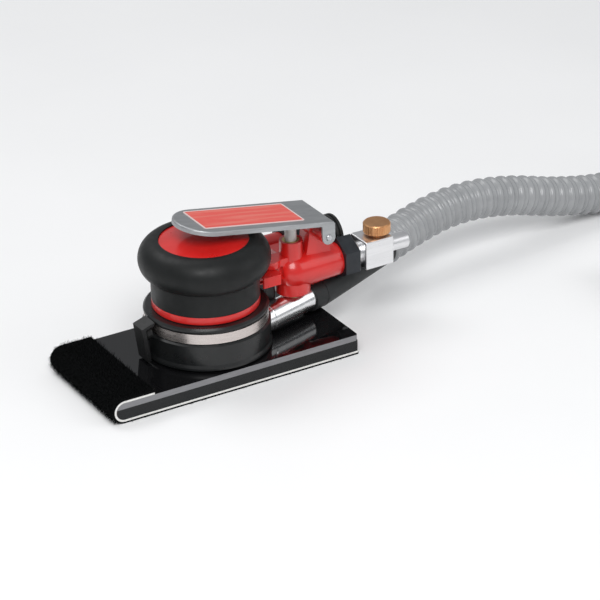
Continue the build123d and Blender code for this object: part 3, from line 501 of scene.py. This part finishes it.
def place_along(line, stations):
    """Points and directions on a polyline at given distances."""
    line = np.array([list(point) for point in line])
    gaps = np.linalg.norm(np.diff(line, axis=0), axis=1)
    travelled = np.concatenate([[0.0], np.cumsum(gaps)])
    spots = np.stack([np.interp(stations, travelled, line[:, axis]) for axis in range(3)], axis=1)
    reach = 0.002
    ahead = np.stack([np.interp(stations + reach, travelled, line[:, axis]) for axis in range(3)], axis=1)
    behind = np.stack([np.interp(stations - reach, travelled, line[:, axis]) for axis in range(3)], axis=1)
    headings = ahead - behind
    return spots, headings / np.linalg.norm(headings, axis=1)[:, None], travelled[-1]


def swept_skin(name, spots, headings, radii):
    """Rings of corners round a path, joined in a tube with open ends."""
    corners = []
    side = Vector((0.0, 0.0, 1.0))
    for spot, heading, radius in zip(spots, headings, radii):
        heading = Vector(heading)
        side = (side - heading * side.dot(heading)).normalized()
        other = heading.cross(side)
        for number in range(HOSE_SIDES):
            turn = 2 * math.pi * number / HOSE_SIDES
            corners.append(Vector(spot) + (side * math.cos(turn) + other * math.sin(turn)) * radius)
    faces = []
    for ring in range(len(radii) - 1):
        low, high = ring * HOSE_SIDES, (ring + 1) * HOSE_SIDES
        for number in range(HOSE_SIDES):
            after = (number + 1) % HOSE_SIDES
            faces.append((low + number, low + after, high + after, high + number))
    mesh = bpy.data.meshes.new(name)
    mesh.from_pydata(corners, [], faces)
    mesh.validate()
    return mesh


def make_hose():
    """Ribbed hose along its spline, turned in to its bore at both ends."""
    line = hose_line()
    length = place_along(line, np.array([0.0]))[2]
    ribs = int(length / HOSE_PITCH)
    pitch = length / ribs
    ribbed = [((number + share) * pitch, radius) for number in range(ribs) for share, radius in RIB]
    near_end = [(MOUTH_DEPTH, HOSE_BORE), (0.0, HOSE_BORE)]
    far_end = [(length, RIB[0][1]), (length, HOSE_BORE), (length - MOUTH_DEPTH, HOSE_BORE)]
    stations, radii = np.array(near_end + ribbed + far_end).T
    spots, headings, length = place_along(line, stations)
    mesh = swept_skin("ribbed_hose", spots, headings, radii * HOSE_D / 2)
    hose = bpy.data.objects.new("ribbed_hose", mesh)
    scene.collection.objects.link(hose)
    mesh.materials.append(finishes["hose_grey"])
    smooth(hose, 60.0)
    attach(hose, "housing")
    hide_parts("hose_tube", "hose_coil")


# ---------------------------------------------------------------- hook nap
def add_tuft(corners, faces, root, normal, lean, height, thick):
    """One bent strand that tapers to its tip, left out where it would reach the floor."""
    side = normal.cross(lean).normalized()
    other = normal.cross(side)
    strand = []
    for level in range(TUFT_LEVELS):
        share = level / (TUFT_LEVELS - 1)
        rise = normal * height * math.sin(share * TUFT_BEND)
        middle = root + rise + lean * height * TUFT_LEAN * share * share
        for number in range(TUFT_SIDES):
            turn = 2 * math.pi * number / TUFT_SIDES
            spoke = side * math.cos(turn) + other * math.sin(turn)
            strand.append(middle + spoke * thick * (1.0 - TUFT_TAPER * share))
    if min(corner.z for corner in strand) < floor_z + FLOOR_GAP:
        return
    start = len(corners)
    corners.extend(strand)
    for level in range(TUFT_LEVELS - 1):
        low, high = start + level * TUFT_SIDES, start + (level + 1) * TUFT_SIDES
        for number in range(TUFT_SIDES):
            after = (number + 1) % TUFT_SIDES
            faces.append((low + number, low + after, high + after, high + number))
    tip = start + (TUFT_LEVELS - 1) * TUFT_SIDES
    faces.append((tip, tip + 1, tip + 2))
    faces.append((start + 2, start + 1, start))


def strip_root(spot, flat, y):
    """Root, outward normal and lengthwise direction on the strip, spot metres from its rear edge."""
    if spot < flat:
        root = Vector((STRIP_REAR - max(spot, NAP_STRAND), y, NOSE_Z + NOSE_R))
        return root, Vector((0.0, 0.0, 1.0)), Vector((1.0, 0.0, 0.0))
    turn = math.pi / 2 + (spot - flat) / NOSE_R
    normal = Vector((math.cos(turn), 0.0, math.sin(turn)))
    root = Vector((NOSE_X, y, NOSE_Z)) + normal * NOSE_R
    return root, normal, Vector((math.sin(turn), 0.0, -math.cos(turn)))


def nap_edges():
    """Root, outward normal and run for each strand along the two long edges and the rear edge."""
    edges = []
    along_x, along_y = Vector((1.0, 0.0, 0.0)), Vector((0.0, 1.0, 0.0))
    for number in range(int((pad_high.x - NOSE_X) / EDGE_GAP)):
        x = NOSE_X + (number + 0.5) * EDGE_GAP
        edges.append((Vector((x, -HALF_WIDTH, 0.0)), -along_y, along_x))
        edges.append((Vector((x, HALF_WIDTH, 0.0)), along_y, along_x))
    for number in range(int(2 * HALF_WIDTH / EDGE_GAP)):
        y = -HALF_WIDTH + (number + 0.5) * EDGE_GAP
        edges.append((Vector((pad_high.x, y, 0.0)), along_x, along_y))
    return edges


def make_nap():
    """Hooks standing in rows on the wrapped strip and along the nap's cut edges."""
    draw = np.random.default_rng(7)
    corners, faces = [], []
    flat = STRIP_REAR - NOSE_X
    rows = int((flat + NOSE_R * NAP_WRAP) / NAP_GAP)
    columns = int(2 * HALF_WIDTH / NAP_GAP)
    for row in range(rows):
        for column in range(columns):
            y = -HALF_WIDTH + (column + 0.5 + draw.uniform(-NAP_JITTER, NAP_JITTER)) * NAP_GAP
            spot = row * NAP_GAP + draw.uniform(-NAP_JITTER, NAP_JITTER) * NAP_GAP
            root, normal, back = strip_root(spot, flat, y)
            drift = draw.uniform(-0.8, 0.8)
            lean = (back * draw.uniform(-0.9, 0.9) + Vector((0.0, drift, 0.0))).normalized()
            height = draw.uniform(*NAP_HEIGHT)
            add_tuft(corners, faces, root - normal * ROOT_SINK, normal, lean, height, NAP_STRAND)
    for root, normal, run in nap_edges():
        root = root + Vector((0.0, 0.0, draw.uniform(*EDGE_RISE)))
        lean = (run * draw.uniform(-1.0, 1.0) + Vector((0.0, 0.0, draw.uniform(-0.15, 0.25)))).normalized()
        height = draw.uniform(*EDGE_HEIGHT)
        add_tuft(corners, faces, root - normal * ROOT_SINK, normal, lean, height, EDGE_STRAND)
    mesh = bpy.data.meshes.new("nap_hooks")
    mesh.from_pydata(corners, [], faces)
    mesh.validate()
    nap = bpy.data.objects.new("nap_hooks", mesh)
    scene.collection.objects.link(nap)
    mesh.materials.append(finishes["hook_black"])
    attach(nap, "pad")


finishes = {}


def main():
    """Camera and studio, finishes, the hose and the nap, then a finish on every CAD node."""
    make_camera()
    make_studio()
    finishes.update(make_materials())
    make_hose()
    make_nap()
    for row in frame["record"]["subparts"]:
        paint(finishes[row["material_slot"]], row["node"])
    for piece in nodes.values():
        smooth(piece)


main()
